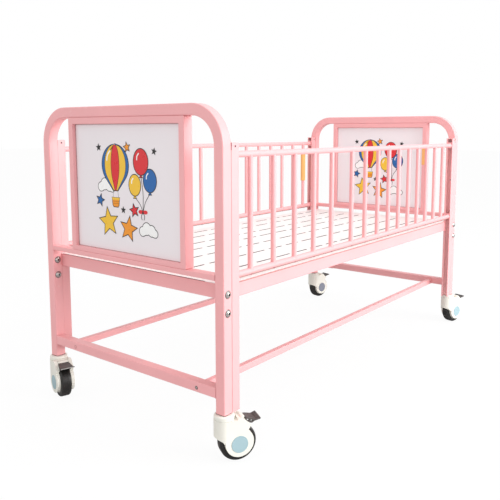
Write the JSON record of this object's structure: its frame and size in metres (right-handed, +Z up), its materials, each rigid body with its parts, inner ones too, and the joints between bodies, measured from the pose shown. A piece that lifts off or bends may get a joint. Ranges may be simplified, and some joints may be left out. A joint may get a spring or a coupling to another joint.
{
  "type": "pediatric hospital cot",
  "caption": "Children's hospital cot with arched tubular end frames, framed end panels, slotted steel deck, barred drop sides and braked swivel casters.",
  "frame": {"origin": "centre of the overall footprint, on the floor under the wheels", "axes": "+X from the foot end to the head end, +Y from the right side to the left side, +Z up"},
  "size_m": [1.7866, 0.8698, 0.986],
  "materials": {
    "pink_paint": "satin powder coat",
    "deck_white": "satin powder coat",
    "board_white": "smooth, printed",
    "nylon_white": "moulded",
    "zinc_steel": "bright zinc",
    "caster_ivory": "moulded",
    "hub_blue": "moulded",
    "wheel_grey": "moulded",
    "tyre": "matt rubber",
    "pedal_grey": "moulded",
    "orange": "soft"
  },
  "bodies": {
    "frame": {"foot_end_tube": "pink_paint", "foot_cross_bar": "pink_paint", "foot_lower_bar": "pink_paint", "foot_panel_frame": "pink_paint", "foot_panel_board": "board_white", "deck_end_rail_foot": "pink_paint", "guide_post_foot_right": "pink_paint", "guide_post_foot_left": "pink_paint", "head_end_tube": "pink_paint", "head_cross_bar": "pink_paint", "head_lower_bar": "pink_paint", "head_panel_frame": "pink_paint", "head_panel_board": "board_white", "deck_end_rail_head": "pink_paint", "guide_post_head_right": "pink_paint", "guide_post_head_left": "pink_paint", "head_panel_strip": "orange", "deck_cross_members": "pink_paint", "deck_sheet": "deck_white", "leg_bolts": "zinc_steel", "leg_cap_nuts": "zinc_steel", "small_screws": "zinc_steel", "caster_stems": "caster_ivory", "deck_side_rail_right": "pink_paint", "stretcher_right": "pink_paint", "deck_side_rail_left": "pink_paint", "stretcher_left": "pink_paint"},
    "right_drop_side": {"right_rail_top_tube": "pink_paint", "right_rail_low_tube": "pink_paint", "right_rail_bars": "pink_paint", "right_rail_slide_blocks": "nylon_white"},
    "left_drop_side": {"left_rail_top_tube": "pink_paint", "left_rail_low_tube": "pink_paint", "left_rail_bars": "pink_paint", "left_rail_slide_blocks": "nylon_white", "left_rail_grip": "orange"},
    "swivel_foot_right": {"caster_foot_right_housing": "caster_ivory", "caster_foot_right_axle": "zinc_steel", "caster_foot_right_hub_caps": "hub_blue"},
    "wheel_foot_right": {"caster_foot_right_wheel": "wheel_grey", "caster_foot_right_tyre": "tyre"},
    "pedal_foot_right": {"caster_foot_right_pedal": "pedal_grey"},
    "swivel_foot_left": {"caster_foot_left_housing": "caster_ivory", "caster_foot_left_axle": "zinc_steel", "caster_foot_left_hub_caps": "hub_blue"},
    "wheel_foot_left": {"caster_foot_left_wheel": "wheel_grey", "caster_foot_left_tyre": "tyre"},
    "pedal_foot_left": {"caster_foot_left_pedal": "pedal_grey"},
    "swivel_head_right": {"caster_head_right_housing": "caster_ivory", "caster_head_right_axle": "zinc_steel", "caster_head_right_hub_caps": "hub_blue"},
    "wheel_head_right": {"caster_head_right_wheel": "wheel_grey", "caster_head_right_tyre": "tyre"},
    "pedal_head_right": {"caster_head_right_pedal": "pedal_grey"},
    "swivel_head_left": {"caster_head_left_housing": "caster_ivory", "caster_head_left_axle": "zinc_steel", "caster_head_left_hub_caps": "hub_blue"},
    "wheel_head_left": {"caster_head_left_wheel": "wheel_grey", "caster_head_left_tyre": "tyre"},
    "pedal_head_left": {"caster_head_left_pedal": "pedal_grey"}
  },
  "joints": [
    {"name": "right_side_drop", "type": "slide", "parent": "frame", "child": "right_drop_side", "axis": [0, 0, 1], "range_m": [-0.3, 0]},
    {"name": "left_side_drop", "type": "slide", "parent": "frame", "child": "left_drop_side", "axis": [0, 0, 1], "range_m": [-0.3, 0]},
    {"name": "swivel_foot_right_turn", "type": "hinge", "parent": "frame", "child": "swivel_foot_right", "pos_m": [-0.83954, -0.36214, 0.1225], "axis": [0, 0, 1], "continuous": true},
    {"name": "wheel_foot_right_spin", "type": "hinge", "parent": "swivel_foot_right", "child": "wheel_foot_right", "pos_m": [-0.80884, -0.38095, 0.053], "axis": [0.5225, 0.8526, 0], "continuous": true},
    {"name": "pedal_foot_right_press", "type": "hinge", "parent": "swivel_foot_right", "child": "pedal_foot_right", "pos_m": [-0.80032, -0.38618, 0.121], "axis": [0.5225, 0.8526, 0], "range_deg": [0, 15]},
    {"name": "swivel_foot_left_turn", "type": "hinge", "parent": "frame", "child": "swivel_foot_left", "pos_m": [-0.83954, 0.40486, 0.1225], "axis": [0, 0, 1], "continuous": true},
    {"name": "wheel_foot_left_spin", "type": "hinge", "parent": "swivel_foot_left", "child": "wheel_foot_left", "pos_m": [-0.85066, 0.37062, 0.053], "axis": [0.9511, -0.309, 0], "continuous": true},
    {"name": "pedal_foot_left_press", "type": "hinge", "parent": "swivel_foot_left", "child": "pedal_foot_left", "pos_m": [-0.85375, 0.36111, 0.121], "axis": [0.9511, -0.309, 0], "range_deg": [0, 15]},
    {"name": "swivel_head_right_turn", "type": "hinge", "parent": "frame", "child": "swivel_head_right", "pos_m": [0.79046, -0.36214, 0.1225], "axis": [0, 0, 1], "continuous": true},
    {"name": "wheel_head_right_spin", "type": "hinge", "parent": "swivel_head_right", "child": "wheel_head_right", "pos_m": [0.82524, -0.37146, 0.053], "axis": [0.2588, 0.9659, 0], "continuous": true},
    {"name": "pedal_head_right_press", "type": "hinge", "parent": "swivel_head_right", "child": "pedal_head_right", "pos_m": [0.83489, -0.37405, 0.121], "axis": [0.2588, 0.9659, 0], "range_deg": [0, 15]},
    {"name": "swivel_head_left_turn", "type": "hinge", "parent": "frame", "child": "swivel_head_left", "pos_m": [0.79046, 0.40486, 0.1225], "axis": [0, 0, 1], "continuous": true},
    {"name": "wheel_head_left_spin", "type": "hinge", "parent": "swivel_head_left", "child": "wheel_head_left", "pos_m": [0.82568, 0.39737, 0.053], "axis": [0.2079, 0.9781, 0], "continuous": true},
    {"name": "pedal_head_left_press", "type": "hinge", "parent": "swivel_head_left", "child": "pedal_head_left", "pos_m": [0.83546, 0.39529, 0.121], "axis": [0.2079, 0.9781, 0], "range_deg": [0, 15]}
  ]
}
